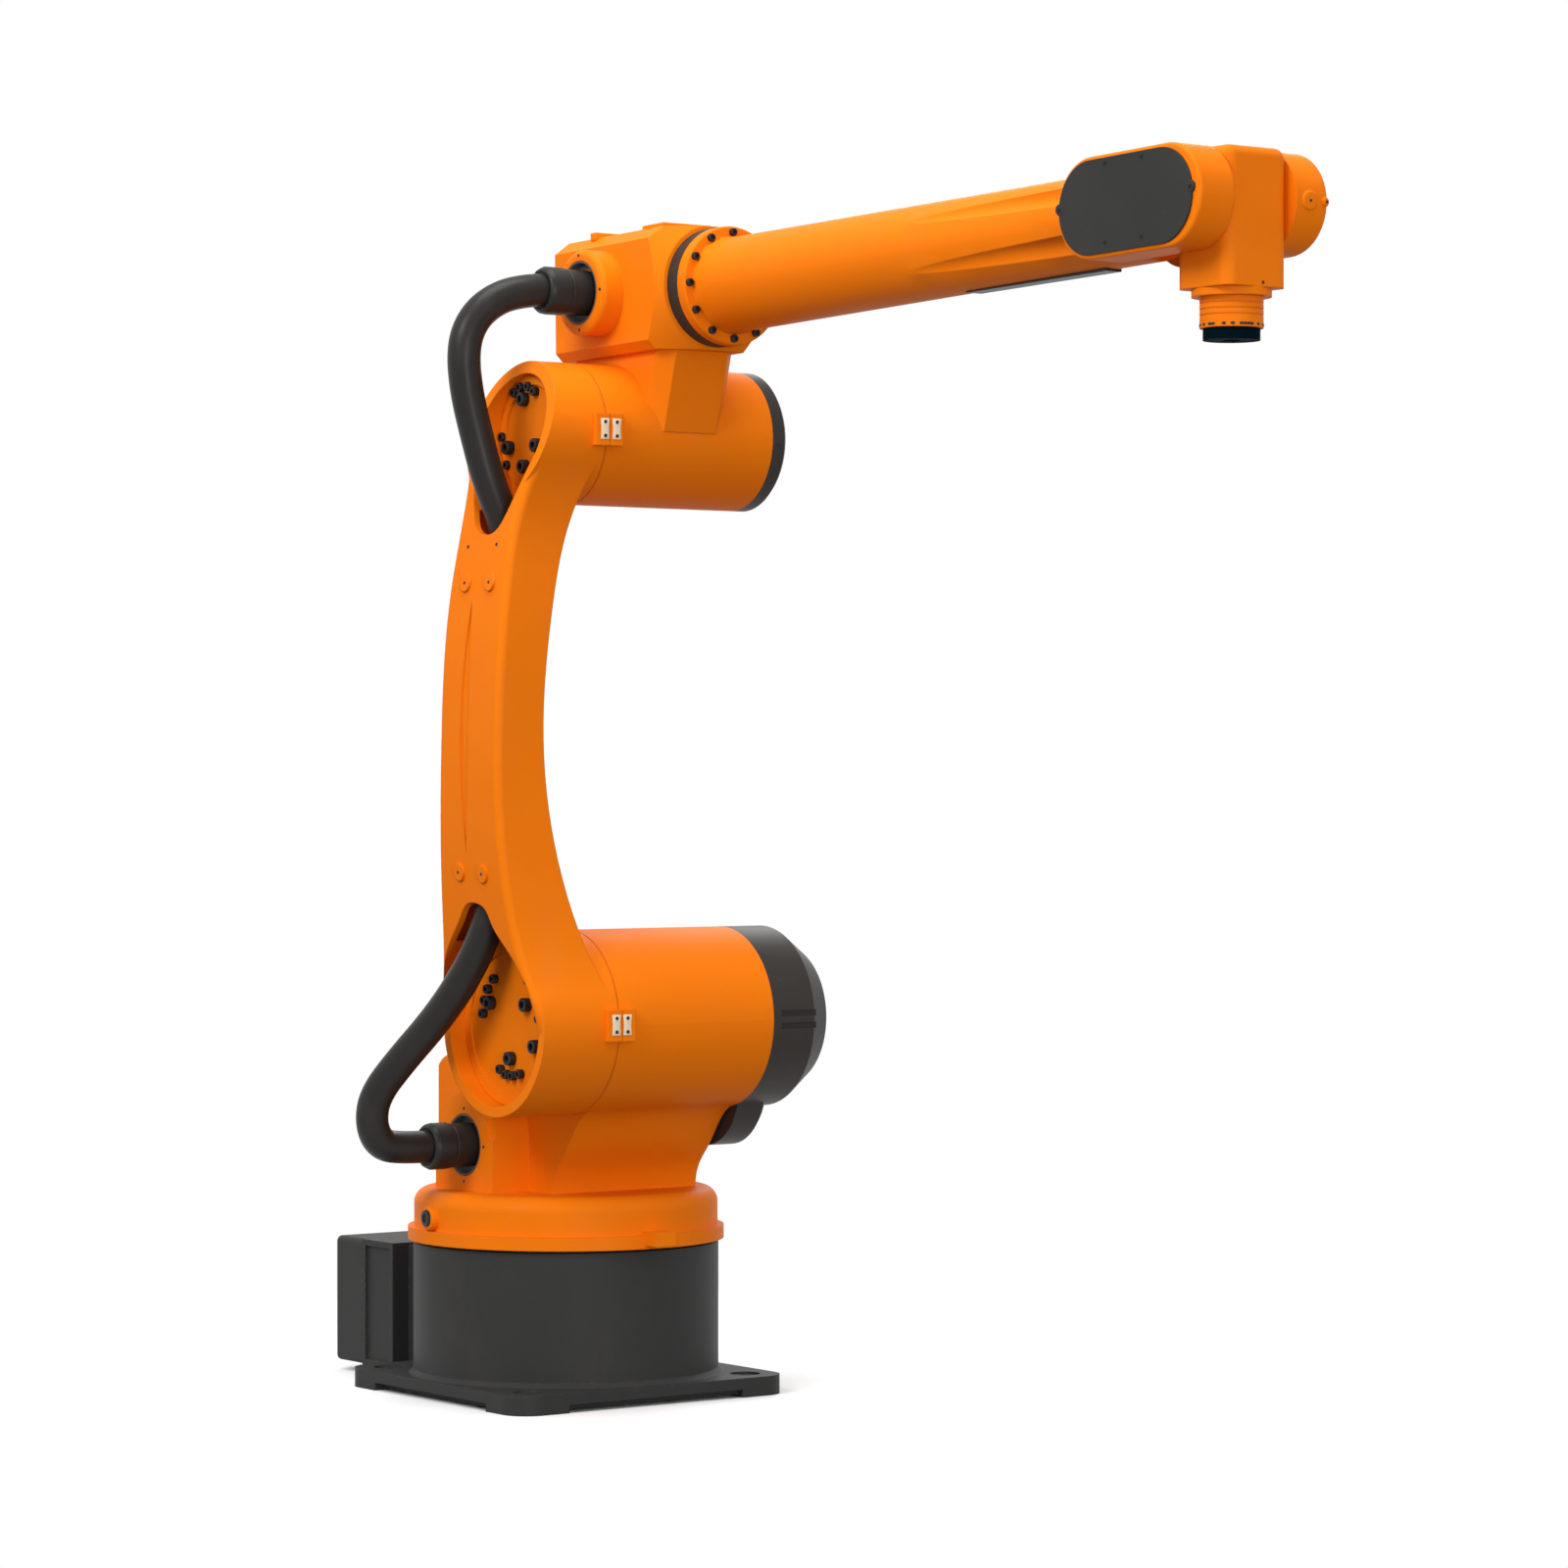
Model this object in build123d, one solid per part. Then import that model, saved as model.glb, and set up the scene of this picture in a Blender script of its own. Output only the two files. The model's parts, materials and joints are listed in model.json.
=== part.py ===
# Six-axis industrial robot arm on a bolted base, all sizes in millimetres.
# Origin: the waist axis where the base meets the floor.  +X: the way the forearm points.
from build123d import *
import os
from math import cos, pi, radians, sin, sqrt, tan

os.makedirs("parts", exist_ok=True)

# Driving dimensions of the whole arm
shoulder_x = 160.0
shoulder_z = 489.0
arm_length = 743.0
arm_lean = 3.8
forearm_pitch = 1.07
forearm_rise = 178.0
elbow_to_wrist = 1110.0
wrist_to_flange = 153.0
shoulder_joint_y = -104.0
elbow_joint_y = -137.0
overrun = 5.0
fit_gap = 0.3

lean_turn = radians(arm_lean)
pitch_turn = radians(forearm_pitch)
elbow_x = shoulder_x + arm_length * sin(lean_turn)
elbow_z = shoulder_z + arm_length * cos(lean_turn)
wrist_x = elbow_x + elbow_to_wrist * cos(pitch_turn) - forearm_rise * sin(pitch_turn)
wrist_z = elbow_z + elbow_to_wrist * sin(pitch_turn) + forearm_rise * cos(pitch_turn)

# Base casting
base_width = 420.0
base_thick = 25.0
base_corner = 36.0
base_height = 196.0
column_radius = 199.0
column_foot = 6.0
pad_length = 76.0
pad_step = 3.0
side_notch = 12.0
side_notch_height = 10.0
bolt_spacing = 335.0
bolt_hole_radius = 11.0
bolt_spot_radius = 20.0
bolt_spot_depth = 3.0

# Rear neck and connection box of the base
neck_half_width = 100.0
neck_rear = 228.0
neck_bottom = 14.0
neck_below_joint = 20.0
block_half_width = 125.0
block_rear = 306.0
block_bottom = 12.0
block_below_joint = 16.0
block_fillet = 8.0
box_depth = 65.0
panel_margin = 8.0
panel_recess = 4.0

# Waist casting
bearing_radius = 186.0
bearing_height = 3.0
flange_radius = 206.0
flange_height = 17.0
turntable_radius = 198.0
turntable_height = 50.0
turntable_fillet = 20.0
shoulder_radius = 117.0
shoulder_end_y = 135.0
pedestal_rear = 172.0
pedestal_rear_rise = 242.0
pedestal_foot_x = 128.0
pedestal_round = 188.0
pedestal_end_y = 130.0
pedestal_inner_y = -94.0
pedestal_shoulder_x = 109.0
pedestal_meet_turn = 18.0
pedestal_front_shares = ((0.36, 0.51), (0.72, 0.87))
pedestal_rear_slope = 52.0
tower_x = -12.0
tower_z = 334.0
tower_radius = 68.0
tower_face_y = -150.0
tower_rim = 9.0
tower_groove = 4.0
tower_gland_z = 325.0
lug_half_width = 15.5
lug_length = 25.0
lug_inset = 4.0
joint_groove = 1.6

# Hose glands and hoses
hose_radius = 21.0
gland_seat_radius = 40.0
gland_seat_depth = 12.0
gland_body_radius = 28.5
gland_nut_radius = 31.0
gland_body_length = 42.0
gland_nut_length = 27.0
gland_nut_sides = 8
hose_arc_share = 0.45

# Shoulder motor cover
motor_cover_length = 103.0
motor_cover_bevel = 27.0
motor_cover_bevel_length = 39.0
motor_lobe_x = 120.0
motor_lobe_z = 400.0
motor_lobe_radius = 80.0
motor_lobe_length = 49.0
motor_lobe_bevel = 8.0
motor_slot_height = 8.0
motor_slot_depth = 5.0
motor_slot_start = 12.0
motor_slot_length = 57.0
motor_slot_spacing = 16.0

# Upper arm casting
arm_hub_face_y = -215.0
arm_wall = 9.0
arm_edge_fillet = 8.8
shoulder_window_radius = 104.0
shoulder_window_reach = 154.0
shoulder_window_shares = ((0.935, 0.35), (0.69, 0.61), (0.36, 0.84))
elbow_window_radius = 73.0
elbow_window_reach = 130.0
elbow_window_shares = ((0.9, 0.28), (0.76, 0.46), (0.5, 0.8))
shoulder_hub_floor_y = -185.0
elbow_hub_floor_y = -183.0
hub_cover_thick = 7.0
hub_cover_rim = 14.0
hub_cover_step = 3.0
arm_apex_height = 411.0
arm_inner_apex_y = -201.0
arm_inner_radius = 800.0
arm_side_shares = ((0.23, 0.667), (0.5, 0.573), (0.709, 0.564))
arm_bow_shares = ((0.23, 0.725), (0.5, 1.0), (0.754, 0.85))
arm_bow = 54.0
arm_elbow_face_y = -222.0
arm_tip_face_y = -192.0
arm_leave_turn = 25.0
arm_cavity_end = 100.0
arm_boss_radius = 11.0
arm_boss_height = 3.0
arm_boss_places = ((-25.0, 190.0), (29.0, 192.0), (-26.0, 552.0), (29.0, 555.0))
leaf_low = 215.0
leaf_high = 530.0
leaf_half_width = 9.0
leaf_depth = 2.5
leaf_x = -8.0

# Elbow casting, laid out about its own joint before it is placed
elbow_radius = 89.0
elbow_end_y = 118.0
elbow_cap_length = 24.0
elbow_cap_chamfer = 6.0
housing_rear = 96.0
housing_front = 133.0
housing_half_width = 89.0
housing_under = 67.0
housing_side_top = 60.0
housing_shoulder_top = 76.0
housing_crown = 77.5
housing_shoulder_in = 22.0
housing_under_chamfer = 11.0
housing_far_width = 72.0
housing_far_chamfer = 25.0
housing_far_rise = 36.0
housing_nose_radius = 79.0
housing_nose_length = 40.0
housing_nose_spread = 60.0
neck_front = 123.0
neck_foot_front = 90.0
neck_back = 78.0
neck_foot_back = 84.0
neck_near_y = -69.0
neck_far_y = 45.5
neck_corner = 18.0
elbow_gland_x = 6.0
gland_boss_radius = 54.0
gland_boss_length = 32.0
gland_boss_fillet = 8.0
top_cover_start = 27.0
top_cover_length = 46.0
top_cover_width = 75.0
top_cover_thick = 10.0
rear_cover_start = -90.0
rear_cover_length = 34.0
rear_cover_width = 52.0
rear_cover_thick = 5.0
cover_corner = 1.5

# Fourth axis seal and forearm
seal_length = 22.0
seal_radius = 74.0
forearm_flange_length = 15.0
forearm_flange_chamfer = 2.0
flange_recess_radius = 61.0
forearm_flange_cone = 14.0
tube_root_radius = 59.0
tube_tip_radius = 54.0
tube_end_gap = 120.0
fork_leg_radius = 57.0
fork_leg_inner_y = 45.0
fork_leg_outer_y = 93.5
fork_leg_back = 130.0
fork_edge_fillet = 10.0
near_leg_fillet = 4.0
fork_cap_radius = 40.0
fork_cap_thick = 7.0
cover_inset = 4.6
cover_thick = 2.5
cover_front_in = 8.0
cover_back_in = 2.0
strip_length = 255.0
strip_half_width = 11.0
strip_drop = 3.0
strip_inset = 14.0
flute_start = 593.0
flute_radius = 16.0
flute_turn = 31.5
flute_depth = 9.0
flute_reach = 870.0

# Wrist block and tool flange
block_half_x = 44.0
block_half_y = 44.5
block_up = 56.0
block_down = 97.0
block_edge = 14.0
block_top_edge = 12.0
collar_radius = 44.0
collar_height = 9.0
wrist_neck_radius = 35.0
wrist_neck_height = 34.0
neck_ring_count = 3
neck_ring_pitch = 6.5
neck_ring_width = 1.4
neck_ring_depth = 0.8
tool_radius = 31.5
tool_bore_radius = 10.0
tool_bore_depth = 6.0
tool_pcd_radius = 25.0
tool_hole_radius = 3.0
tool_hole_depth = 8.0
tool_hole_count = 4
tool_hole_turn = 45.0

# Zero mark blocks
mark_size = 40.0
mark_thick = 8.0


def along_y(x, z, y0, y1, radius):
    """A round bar about a cross axis, from y0 to y1."""
    spot = Plane(origin=(x, y0, z), x_dir=(1, 0, 0), z_dir=(0, 1, 0))
    return spot * Cylinder(radius, y1 - y0, align=(Align.CENTER, Align.CENTER, Align.MIN))


def along_x(z, x0, x1, radius, end_radius=None):
    """A round bar or cone about a long axis, from x0 to x1."""
    spot = Plane(origin=(x0, 0, z), x_dir=(0, 1, 0), z_dir=(1, 0, 0))
    if end_radius is None:
        return spot * Cylinder(radius, x1 - x0, align=(Align.CENTER, Align.CENTER, Align.MIN))
    return spot * Cone(radius, end_radius, x1 - x0, align=(Align.CENTER, Align.CENTER, Align.MIN))


def upright(x, z0, z1, radius):
    """A round bar about a vertical axis, from z0 to z1."""
    return Pos(x, 0, z0) * Cylinder(radius, z1 - z0, align=(Align.CENTER, Align.CENTER, Align.MIN))


def block(x0, x1, y0, y1, z0, z1):
    """A plain block between two corners."""
    size = (x1 - x0, y1 - y0, z1 - z0)
    return Pos(x0, y0, z0) * Box(*size, align=(Align.MIN, Align.MIN, Align.MIN))


def side_profile(face, y0, y1):
    """A face drawn in X and Z, carried from y0 to y1."""
    spot = Plane(origin=(0, y1, 0), x_dir=(1, 0, 0), z_dir=(0, -1, 0))
    return extrude(spot * face, y1 - y0)


def ring_groove(x, z, y, radius):
    """Fine groove round a drum, just behind the joint plane at y."""
    outer = along_y(x, z, y - overrun, y + joint_groove, radius + overrun)
    return outer - along_y(x, z, y - 2 * overrun, y + 2 * overrun, radius - joint_groove)


def save_all(solids):
    """Write every named solid as its own STEP file."""
    for name, shape in solids.items():
        shape.label = name
        export_step(shape, f"parts/{name}.step")


def arm_place():
    """Where the upper arm stands: upright at the shoulder, then leaned forward."""
    return Pos(shoulder_x, 0, shoulder_z) * Rot(0, arm_lean, 0)


def elbow_place():
    """Where the elbow and forearm lie: about the elbow joint, pitched up a little."""
    return Pos(elbow_x, 0, elbow_z) * Rot(0, -forearm_pitch, 0)


def make_base():
    """Base casting: plate with corner pads, round column and rear neck."""
    half = base_width / 2
    plate = extrude(RectangleRounded(base_width, base_width, base_corner), base_thick)
    span = base_width - 2 * pad_length
    for size in ((base_width + overrun, span), (span, base_width + overrun)):
        plate -= Pos(0, 0, -overrun) * extrude(Rectangle(*size), pad_step + overrun)
    for side in (-1, 1):
        low, high = sorted((side * (half - side_notch), side * (half + overrun)))
        plate -= block(low, high, -span / 2, span / 2, -overrun, side_notch_height)
        plate -= block(-span / 2, span / 2, low, high, -overrun, side_notch_height)
    body = plate + upright(0, base_thick, base_height, column_radius)
    foot_radius = column_radius + column_foot
    foot = Cone(foot_radius, column_radius, column_foot, align=(Align.CENTER, Align.CENTER, Align.MIN))
    body += Pos(0, 0, base_thick) * foot
    neck_top = base_height - neck_below_joint
    body += block(-neck_rear, 0, -neck_half_width, neck_half_width, neck_bottom, neck_top)
    block_top = base_height - block_below_joint
    body += block(-block_rear, -neck_rear, -block_half_width, block_half_width, block_bottom, block_top)
    for side in (-1, 1):
        near = side * (block_half_width - panel_recess)
        low, high = sorted((near, side * (block_half_width + overrun)))
        body -= block(
            -block_rear + panel_margin,
            -neck_rear - panel_margin,
            low,
            high,
            block_bottom + panel_margin,
            block_top - panel_margin,
        )
    spot = upright(0, base_thick - bolt_spot_depth, base_thick + bolt_spot_radius, bolt_spot_radius)
    hole = upright(0, -overrun, base_thick + overrun, bolt_hole_radius)
    for place in GridLocations(bolt_spacing, bolt_spacing, 2, 2):
        body -= place * hole
        body -= place * spot
    return body


def make_connection_box():
    """Box for the cable connectors at the rear of the base."""
    top = base_height - block_below_joint
    far = -block_rear - box_depth
    shape = block(far, -block_rear, -block_half_width, block_half_width, block_bottom, top)
    return fillet(shape.edges().filter_by(Axis.X), block_fillet)


def make_bearing():
    """Dark bearing ring between base and turntable."""
    return upright(0, base_height, base_height + bearing_height, bearing_radius)


def pedestal_face():
    """Outline of the pedestal from its side, concave where it meets the shoulder drum."""
    foot_z = flange_top + turntable_height - turntable_fillet
    low = (pedestal_foot_x, foot_z)
    rise = (pedestal_shoulder_x, foot_z + turntable_fillet)
    meet = radians(pedestal_meet_turn)
    drum_low = (shoulder_x + shoulder_radius * sin(meet), shoulder_z - shoulder_radius * cos(meet))
    front = []
    for forward_share, rise_share in pedestal_front_shares:
        x = rise[0] + forward_share * (drum_low[0] - rise[0])
        front.append((x, rise[1] + rise_share * (drum_low[1] - rise[1])))
    drum_high = (shoulder_x - shoulder_radius * cos(pi / 4), shoulder_z + shoulder_radius * sin(pi / 4))
    rear_top = (-pedestal_rear + pedestal_rear_slope, foot_z + pedestal_rear_rise - pedestal_rear_slope)
    rear_low = (-pedestal_rear, foot_z + pedestal_rear_rise - 2 * pedestal_rear_slope)
    corner = (-pedestal_rear, foot_z)
    lines = [
        Line(low, rise),
        Spline(rise, *front, drum_low, tangents=[(0, 1), (cos(meet), sin(meet))]),
        Line(drum_low, (shoulder_x, shoulder_z)),
        Line((shoulder_x, shoulder_z), drum_high),
        Spline(drum_high, rear_top, tangents=[(-1, -1), (-1, 0)]),
        Spline(rear_top, rear_low, tangents=[(-1, 0), (0, -1)]),
        Line(rear_low, corner),
        Line(corner, low),
    ]
    return make_face(Wire([line.edge() for line in lines]))


def make_waist():
    """Waist casting: turntable, pedestal, shoulder drum and hose tower."""
    top = flange_top + turntable_height
    table = upright(0, base_height + bearing_height, flange_top, flange_radius)
    upper = upright(0, flange_top, top, turntable_radius)
    upper = fillet(upper.edges().group_by(Axis.Z)[-1], turntable_fillet)
    drum = along_y(shoulder_x, shoulder_z, shoulder_joint_y, shoulder_end_y, shoulder_radius)
    foot_z = top - turntable_fillet
    keep = upright(0, foot_z, 2 * shoulder_z, pedestal_round)
    keep += block(
        pedestal_foot_x / 2,
        shoulder_x + shoulder_radius,
        shoulder_joint_y,
        shoulder_end_y,
        foot_z,
        2 * shoulder_z,
    )
    pedestal = side_profile(pedestal_face(), pedestal_inner_y, pedestal_end_y) & keep
    tower = along_y(tower_x, tower_z, tower_face_y, pedestal_inner_y + overrun, tower_radius)
    tower += block(
        tower_x - tower_radius,
        tower_x + tower_radius,
        tower_face_y,
        pedestal_inner_y + overrun,
        foot_z,
        tower_z,
    )
    outside = tower_face_y - overrun
    groove_end = tower_face_y + tower_groove
    groove = along_y(tower_x, tower_z, outside, groove_end, tower_radius + overrun)
    groove -= along_y(tower_x, tower_z, outside, groove_end, tower_radius - tower_rim)
    lug = block(
        turntable_radius - overrun,
        flange_radius + lug_length,
        -lug_half_width,
        lug_half_width,
        base_height + bearing_height + lug_inset,
        flange_top + overrun,
    )
    body = table + upper + drum + pedestal + tower + lug
    body -= ring_groove(shoulder_x, shoulder_z, shoulder_joint_y, shoulder_radius)
    body -= groove & block(
        tower_x - 2 * tower_radius, tower_x + 2 * tower_radius, -2 * flange_radius, 0, tower_z, shoulder_z
    )
    seat = along_y(tower_x, tower_gland_z, outside, tower_face_y + gland_seat_depth, gland_seat_radius)
    return body - seat


def make_gland(y):
    """Hose gland in a seat that looks along -Y: body and eight-sided nut."""
    body_end = y + gland_seat_depth - gland_body_length
    shape = along_y(0, 0, body_end, y + gland_seat_depth, gland_body_radius)
    spot = Plane(origin=(0, body_end, 0), x_dir=(1, 0, 0), z_dir=(0, -1, 0))
    nut = extrude(spot * RegularPolygon(gland_nut_radius, gland_nut_sides), gland_nut_length)
    return shape + nut


def make_motor_cover():
    """Dark cover of the shoulder motor with its lower lobe and two slots."""
    y0 = shoulder_end_y
    straight = motor_cover_length - motor_cover_bevel_length
    shape = along_y(shoulder_x, shoulder_z, y0, y0 + straight, shoulder_radius)
    nose = Cone(
        shoulder_radius,
        shoulder_radius - motor_cover_bevel,
        motor_cover_bevel_length,
        align=(Align.CENTER, Align.CENTER, Align.MIN),
    )
    spot = Plane(origin=(shoulder_x, y0 + straight, shoulder_z), x_dir=(1, 0, 0), z_dir=(0, 1, 0))
    shape += spot * nose
    lobe = along_y(motor_lobe_x, motor_lobe_z, y0, y0 + motor_lobe_length, motor_lobe_radius)
    shape += chamfer(lobe.edges().group_by(Axis.Y)[-1], motor_lobe_bevel)
    for side in (-1, 1):
        z = shoulder_z + side * motor_slot_spacing / 2
        shape -= block(
            shoulder_x + shoulder_radius - motor_slot_depth,
            shoulder_x + shoulder_radius + overrun,
            y0 + motor_slot_start,
            y0 + motor_slot_start + motor_slot_length,
            z - motor_slot_height / 2,
            z + motor_slot_height / 2,
        )
    return shape


def arm_outline(margin):
    """Outline of the arm from its side: two hubs and a waisted web."""
    low = shoulder_radius - margin
    high = elbow_radius - margin
    turn = radians(arm_leave_turn)
    start = (low * cos(turn), low * sin(turn))
    finish = (high * cos(turn), arm_length - high * sin(turn))
    points = [start]
    for height_share, width_share in arm_side_shares:
        points.append((shoulder_radius * width_share - margin, arm_length * height_share))
    points.append(finish)
    right = Spline(*points, tangents=[(-sin(turn), cos(turn)), (sin(turn), cos(turn))])
    top = ThreePointArc(finish, (0, arm_length + high), (-finish[0], finish[1]))
    mirrored = [(-x, z) for x, z in reversed(points)]
    left = Spline(*mirrored, tangents=[(sin(turn), -cos(turn)), (-sin(turn), -cos(turn))])
    bottom = ThreePointArc((-start[0], start[1]), (0, -low), start)
    return make_face(Wire([right.edge(), top.edge(), left.edge(), bottom.edge()]))


def outer_points(shift):
    """Points of the outer face of the arm seen from the front, moved in by shift."""
    points = [(arm_hub_face_y + shift, 0)]
    for height_share, bow_share in arm_bow_shares:
        points.append((arm_hub_face_y - arm_bow * bow_share + shift, arm_length * height_share))
    points.append((arm_elbow_face_y + shift, arm_length))
    points.append((arm_tip_face_y + shift, arm_length + elbow_radius + overrun))
    return points


def arm_bow_face(shift):
    """Section of the arm seen from the front: bowed away from the joint plane."""
    low = -shoulder_radius - overrun
    outer = outer_points(shift)
    high = outer[-1][1]
    low_drop = shoulder_joint_y - arm_inner_apex_y
    high_drop = elbow_joint_y - arm_inner_apex_y
    low_half = sqrt(2 * arm_inner_radius * low_drop - low_drop * low_drop)
    high_half = sqrt(2 * arm_inner_radius * high_drop - high_drop * high_drop)
    inner_low = (shoulder_joint_y - shift, arm_apex_height - low_half)
    inner_high = (elbow_joint_y - shift, arm_apex_height + high_half)
    lines = [
        Line((arm_hub_face_y + shift, low), outer[0]),
        Spline(*outer),
        Line(outer[-1], (elbow_joint_y - shift, high)),
        Line((elbow_joint_y - shift, high), inner_high),
        ThreePointArc(inner_high, (arm_inner_apex_y - shift, arm_apex_height), inner_low),
        Line(inner_low, (shoulder_joint_y - shift, low)),
        Line((shoulder_joint_y - shift, low), (arm_hub_face_y + shift, low)),
    ]
    return make_face(Wire([line.edge() for line in lines]))


def arm_lid_face(shift):
    """Everything behind the outer face of the arm, seen from the front."""
    outer = outer_points(shift)
    high = outer[-1][1]
    lines = [Spline(*outer), Line(outer[-1], (0, high)), Line((0, high), (0, 0)), Line((0, 0), outer[0])]
    return make_face(Wire([line.edge() for line in lines]))


def window_face(radius, reach, shares):
    """Egg-shaped window: half a circle drawn out to a rounded tip at +reach."""
    side = [(radius * wide, reach * tall) for wide, tall in shares]
    right = Spline((radius, 0), *side, (0, reach), tangents=[(0, 1), (-1, 0)])
    mirrored = [(-x, z) for x, z in reversed(side)]
    left = Spline((0, reach), *mirrored, (-radius, 0), tangents=[(-1, 0), (0, -1)])
    bottom = ThreePointArc((-radius, 0), (0, -radius), (radius, 0))
    return make_face(Wire([right.edge(), left.edge(), bottom.edge()]))


def leaf_face():
    """Slim leaf outline of the shallow groove on the arm's outer face."""
    low = (leaf_x, leaf_low)
    high = (leaf_x, leaf_high)
    middle = (leaf_low + leaf_high) / 2
    right = ThreePointArc(low, (leaf_x + leaf_half_width, middle), high)
    left = ThreePointArc(high, (leaf_x - leaf_half_width, middle), low)
    return make_face(Wire([right.edge(), left.edge()]))


def outward(y, z=0.0):
    """Sketch plane facing -Y at height z, with its second axis up."""
    return Plane(origin=(0, y, z), x_dir=(1, 0, 0), z_dir=(0, -1, 0))


def outward_down(y, z):
    """Sketch plane facing -Y at height z, with its second axis down."""
    return Plane(origin=(0, y, z), x_dir=(-1, 0, 0), z_dir=(0, -1, 0))


def make_upper_arm():
    """Upper arm casting: hollow, bowed, with an egg-shaped window at each hub."""
    deep = abs(arm_hub_face_y) + arm_bow + overrun
    reach = shoulder_radius + overrun
    side = Plane(origin=(-reach, 0, 0), x_dir=(0, 1, 0), z_dir=(1, 0, 0))
    lid = extrude(side * arm_lid_face(0), 2 * reach)
    web = extrude(outward(0) * arm_outline(0), deep) & extrude(side * arm_bow_face(0), 2 * reach)
    rims = [edge for edge in web.edges() if edge.length > arm_length / 2 and edge.center().Y < arm_hub_face_y]
    web = fillet(rims, arm_edge_fillet)
    hub = along_y(0, 0, arm_hub_face_y, shoulder_joint_y, shoulder_radius)
    tip = along_y(0, arm_length, -deep, elbow_joint_y, elbow_radius) & lid
    body = web + hub + tip
    cavity = extrude(outward(0) * arm_outline(arm_wall), deep)
    cavity &= extrude(side * arm_bow_face(arm_wall), 2 * reach)
    cavity &= block(-reach, reach, -deep, 0, arm_cavity_end, arm_length - arm_cavity_end)
    body -= cavity
    bosses = []
    for x, z in arm_boss_places:
        bosses.append(along_y(x, z, -deep, arm_inner_apex_y, arm_boss_radius))
    raised = extrude(side * arm_lid_face(-arm_boss_height), 2 * reach)
    inner = extrude(side * arm_bow_face(arm_wall), 2 * reach)
    body += (Compound(bosses) & raised) - inner
    leaf = extrude(outward(0) * leaf_face(), deep)
    body -= leaf - extrude(side * arm_lid_face(leaf_depth), 2 * reach)
    low_face = window_face(shoulder_window_radius, shoulder_window_reach, shoulder_window_shares)
    body -= extrude(outward(shoulder_hub_floor_y) * low_face, deep)
    high_face = window_face(elbow_window_radius, elbow_window_reach, elbow_window_shares)
    body -= extrude(outward_down(elbow_hub_floor_y, arm_length) * high_face, deep)
    return arm_place() * body


def make_hub_cover(height, floor_y, radius):
    """Round cover in the hub recess, with a raised rim."""
    top = floor_y - hub_cover_thick
    shape = along_y(0, height, top, floor_y, radius - fit_gap)
    shape -= along_y(0, height, top - overrun, top + hub_cover_step, radius - hub_cover_rim)
    return arm_place() * shape


def housing_face():
    """Cross-section of the elbow housing, as Y and Z."""
    half = housing_half_width
    far = housing_far_width
    low = forearm_rise - housing_under
    bottom = low - housing_under_chamfer
    side_top = forearm_rise + housing_side_top
    shoulder_top = forearm_rise + housing_shoulder_top
    inner = half - housing_shoulder_in
    foot = half - housing_under_chamfer
    points = [
        (-foot, bottom),
        (-half, low),
        (-half, side_top),
        (-inner, shoulder_top),
        (0, forearm_rise + housing_crown),
        (far - housing_shoulder_in, shoulder_top),
        (far, side_top),
        (far, bottom + housing_far_rise),
        (far - housing_far_chamfer, bottom),
    ]
    return make_face(Polyline(*points, close=True))


def make_elbow():
    """Elbow casting: cross drum, neck and the housing of the fourth axis."""
    drum = along_y(0, 0, elbow_joint_y, elbow_end_y, elbow_radius)
    section = Plane(origin=(-housing_rear, 0, 0), x_dir=(0, 1, 0), z_dir=(1, 0, 0))
    housing = extrude(section * housing_face(), housing_rear + housing_front)
    shoulder = housing_front - housing_nose_length
    wide = housing_nose_radius + housing_nose_spread
    nose = along_x(forearm_rise, -2 * housing_rear, shoulder, wide)
    nose += along_x(forearm_rise, shoulder, housing_front, wide, housing_nose_radius)
    housing &= nose
    neck_top = forearm_rise - housing_under
    points = [(-neck_foot_back, 0), (neck_foot_front, 0), (neck_front, neck_top), (-neck_back, neck_top)]
    neck = side_profile(make_face(Polyline(*points, close=True)), neck_near_y, neck_far_y)
    front = neck.faces().sort_by(Axis.X)[-1]
    corners = [edge for edge in front.edges() if abs(edge.tangent_at(0).Y) < fit_gap]
    neck = chamfer(corners, neck_corner)
    seat = -housing_half_width - gland_boss_length
    boss = along_y(elbow_gland_x, forearm_rise, seat, -housing_half_width + overrun, gland_boss_radius)
    boss = fillet(boss.edges().group_by(Axis.Y)[0], gland_boss_fillet)
    body = drum + housing + neck + boss
    body -= ring_groove(0, 0, elbow_joint_y, elbow_radius)
    body -= along_y(elbow_gland_x, forearm_rise, seat - overrun, seat + gland_seat_depth, gland_seat_radius)
    return elbow_place() * body


def make_elbow_cap():
    """Dark end cap of the elbow drum."""
    shape = along_y(0, 0, elbow_end_y, elbow_end_y + elbow_cap_length, elbow_radius)
    return elbow_place() * chamfer(shape.edges().group_by(Axis.Y)[-1], elbow_cap_chamfer)


def make_top_cover(start, length, width, thick):
    """Cover plate on the crown of the elbow housing."""
    low = forearm_rise + housing_shoulder_top
    high = forearm_rise + housing_crown + thick
    shape = block(start, start + length, -width / 2, width / 2, low, high)
    shape = chamfer(shape.edges().group_by(Axis.Z)[-1], cover_corner)
    section = Plane(origin=(-housing_rear, 0, 0), x_dir=(0, 1, 0), z_dir=(1, 0, 0))
    shape -= extrude(section * housing_face(), housing_rear + housing_front)
    return elbow_place() * shape


def make_seal():
    """Dark seal housing between elbow and forearm."""
    return elbow_place() * along_x(forearm_rise, housing_front, housing_front + seal_length, seal_radius)


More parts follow.
